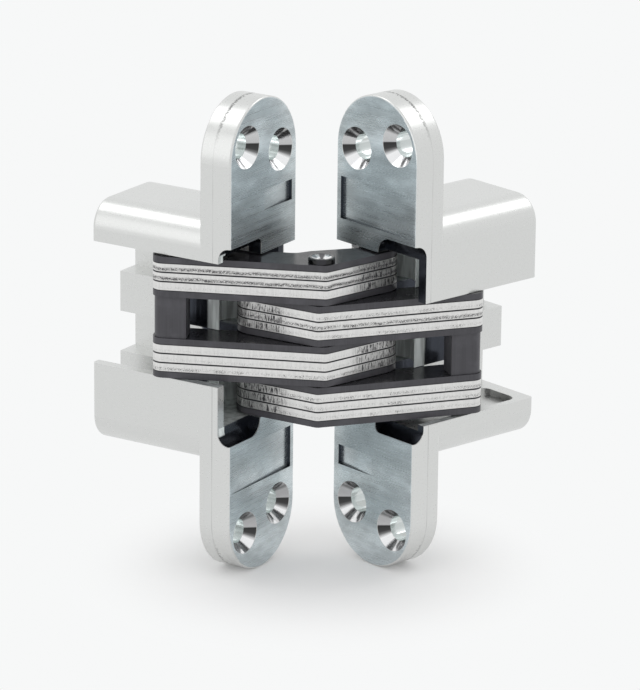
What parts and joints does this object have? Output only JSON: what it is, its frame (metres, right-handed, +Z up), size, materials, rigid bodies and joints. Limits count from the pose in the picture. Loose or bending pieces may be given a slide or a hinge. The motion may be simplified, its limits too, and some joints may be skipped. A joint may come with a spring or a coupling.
{
  "type": "concealed door hinge",
  "caption": "Invisible scissor hinge: two mortised leaves joined by crossing stacks of hooked link plates that fold inside them when the door shuts",
  "frame": {"origin": "middle of the frame leaf's face, level with the frame edge and halfway up the link stacks", "axes": "+X leaves the frame leaf's face at a right angle, +Z runs up along the pivots, +Y points to the pull side of the door; at rest the door leaf stands open by 73.75 degrees"},
  "size_m": [0.0857, 0.0735, 0.1174],
  "materials": {
    "casting": "satin plated die casting, finely brushed on its face",
    "link_steel": "plated stamped steel with sheared edges",
    "black_plastic": "black, semi-matt",
    "rivet_steel": "bright plated, rolled head",
    "pin_steel": "ground steel"
  },
  "bodies": {
    "frame_leaf": {"frame_leaf": "casting", "frame_pivot_pin": "pin_steel"},
    "door_leaf": {"door_leaf": "casting", "door_pivot_pin": "pin_steel"},
    "link_set_a": {"link_a_plate_1_1": "link_steel", "link_a_plate_1_2": "link_steel", "link_a_plate_1_3": "link_steel", "link_a_plate_3_1": "link_steel", "link_a_plate_3_2": "link_steel", "link_a_plate_3_3": "link_steel", "flange_a_top": "black_plastic", "flange_a_bottom": "black_plastic", "spacer_a": "black_plastic", "slide_pin_a_1": "pin_steel", "slide_pin_a_3": "pin_steel"},
    "link_set_b": {"link_b_plate_2_1": "link_steel", "link_b_plate_2_2": "link_steel", "link_b_plate_2_3": "link_steel", "link_b_plate_4_1": "link_steel", "link_b_plate_4_2": "link_steel", "link_b_plate_4_3": "link_steel", "flange_b_top": "black_plastic", "flange_b_bottom": "black_plastic", "spacer_b": "black_plastic", "slide_pin_b_2": "pin_steel", "slide_pin_b_4": "pin_steel", "centre_rivet": "rivet_steel"}
  },
  "joints": [
    {"name": "frame_pivot", "type": "hinge", "parent": "frame_leaf", "child": "link_set_b", "pos_m": [-0.0065, 0.01101, 0], "axis": [0, 0, 1], "range_deg": [-44.25, 63.75]},
    {"name": "scissor_rivet", "type": "hinge", "parent": "link_set_b", "child": "link_set_a", "pos_m": [0.01469, 0.00273, 0], "axis": [0, 0, 1], "range_deg": [-21.3, 14.8]},
    {"name": "door_pivot", "type": "hinge", "parent": "link_set_a", "child": "door_leaf", "pos_m": [0.01268, 0.0254, 0], "axis": [0, 0, 1], "range_deg": [-44.3, 63.8]}
  ],
  "couplings": [
    {"joint": "scissor_rivet", "follows": "frame_pivot", "ratio": -0.33333},
    {"joint": "door_pivot", "follows": "frame_pivot", "ratio": 1}
  ]
}
